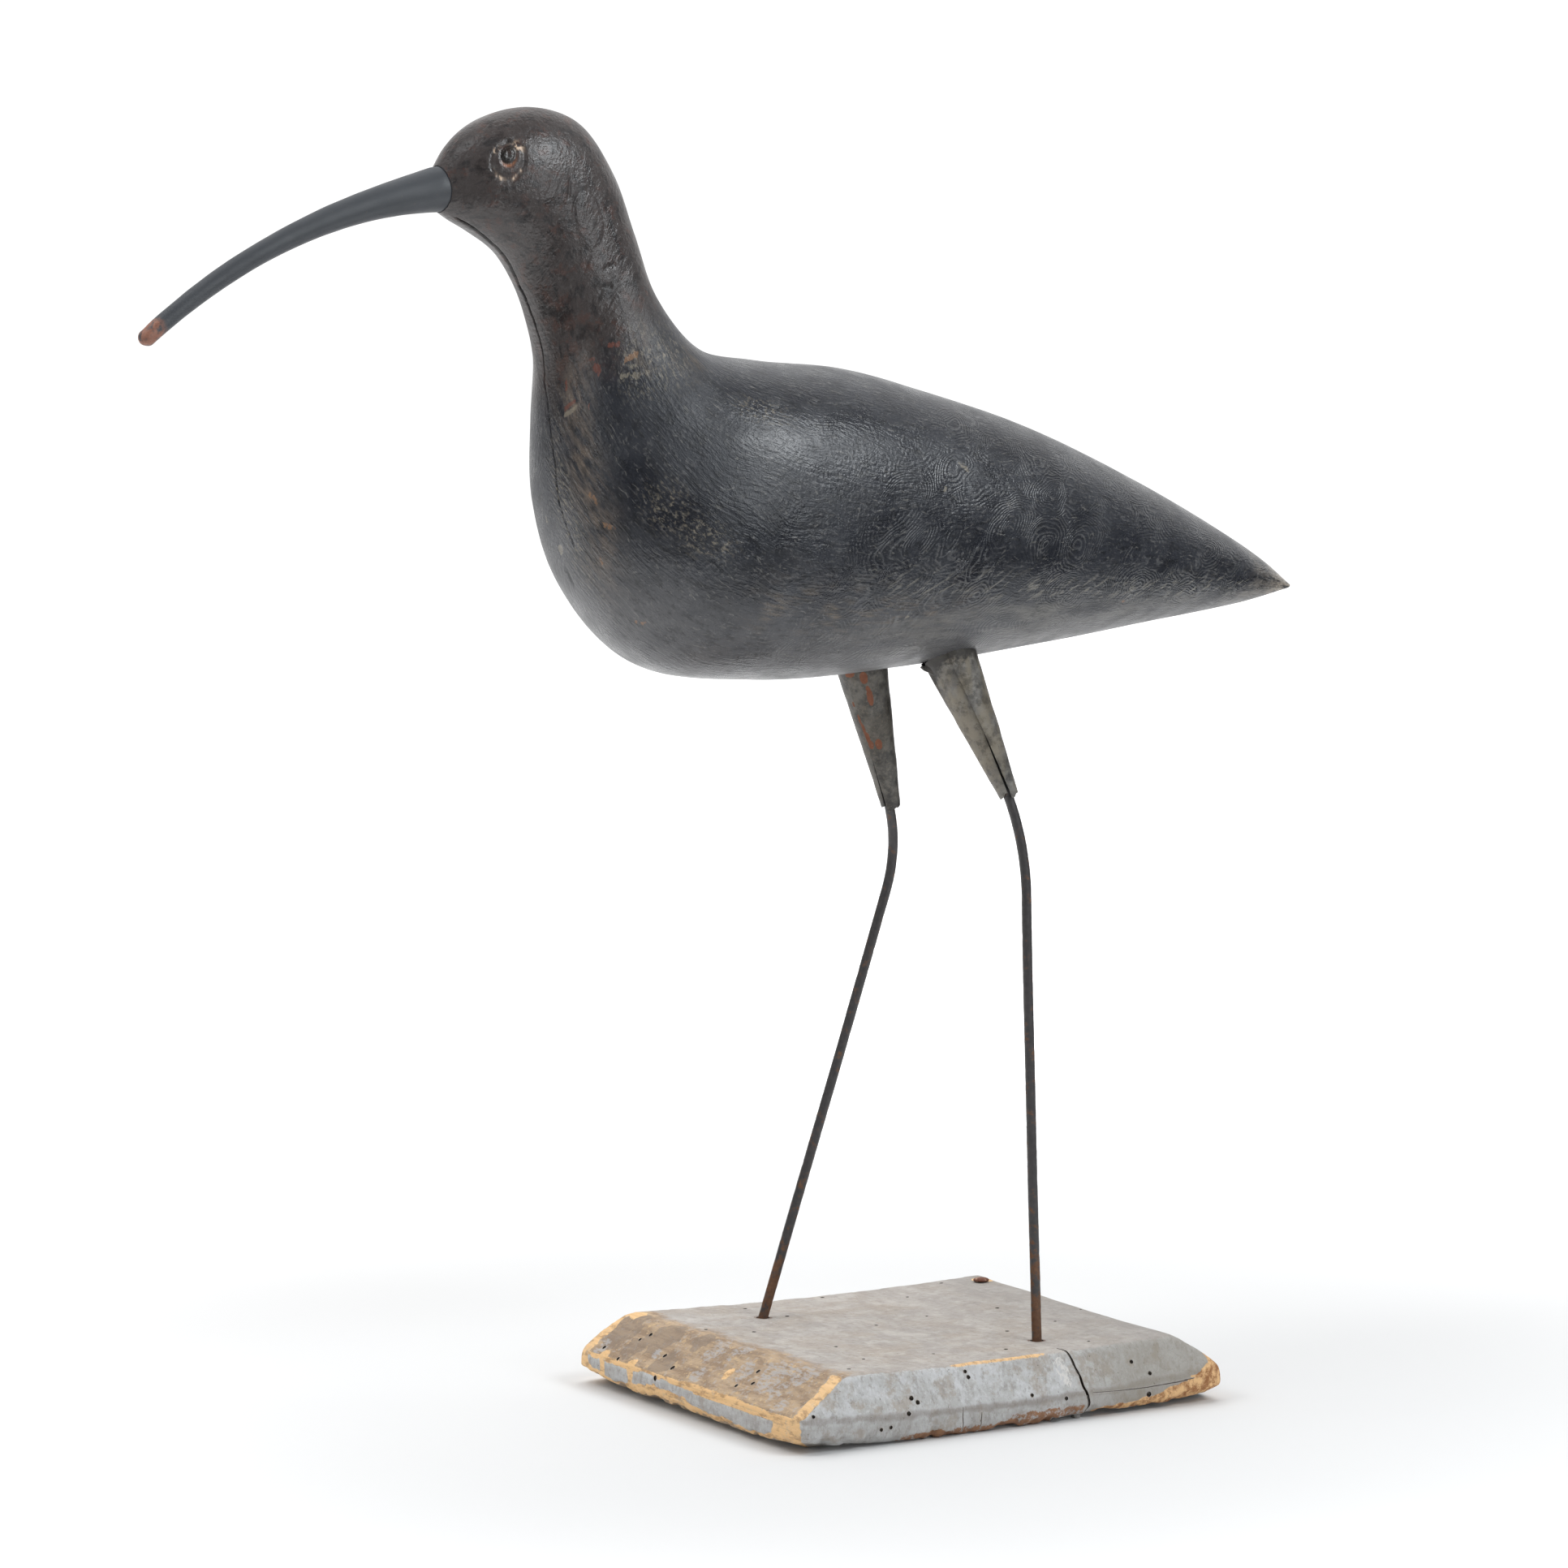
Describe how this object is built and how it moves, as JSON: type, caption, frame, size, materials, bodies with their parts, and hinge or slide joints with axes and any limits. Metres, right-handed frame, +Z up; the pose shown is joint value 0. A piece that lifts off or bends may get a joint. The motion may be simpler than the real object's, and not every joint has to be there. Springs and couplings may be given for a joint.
{
  "type": "shorebird decoy",
  "caption": "Carved and painted wooden curlew decoy with a long down-curved bill, standing on bent iron rod legs in a weathered bevelled board.",
  "frame": {"origin": "middle of the board's underside", "axes": "+Z up, the bill points along -X, the bird's left side faces -Y"},
  "size_m": [0.6285, 0.206, 0.6164],
  "materials": {
    "bird_paint": "old dark slate paint over wood, half gloss, worn brown at the neck and chest",
    "bill_paint": "matt slate paint over wood, reddish brown at the tip",
    "thigh_sheet": "rolled sheet metal with a dark olive patina and rust",
    "leg_iron": "dark brown rusted iron rod",
    "board_wood": "weathered board with grey-blue paint remains and worm holes",
    "nail_iron": "rusted",
    "peg_wood": "grey, matt"
  },
  "bodies": {
    "root": {"carved_bird": "bird_paint", "bill": "bill_paint", "left_thigh": "thigh_sheet", "right_thigh": "thigh_sheet", "left_leg": "leg_iron", "right_leg": "leg_iron", "base_board": "board_wood", "board_nail": "nail_iron", "front_peg": "peg_wood"}
  },
  "joints": []
}
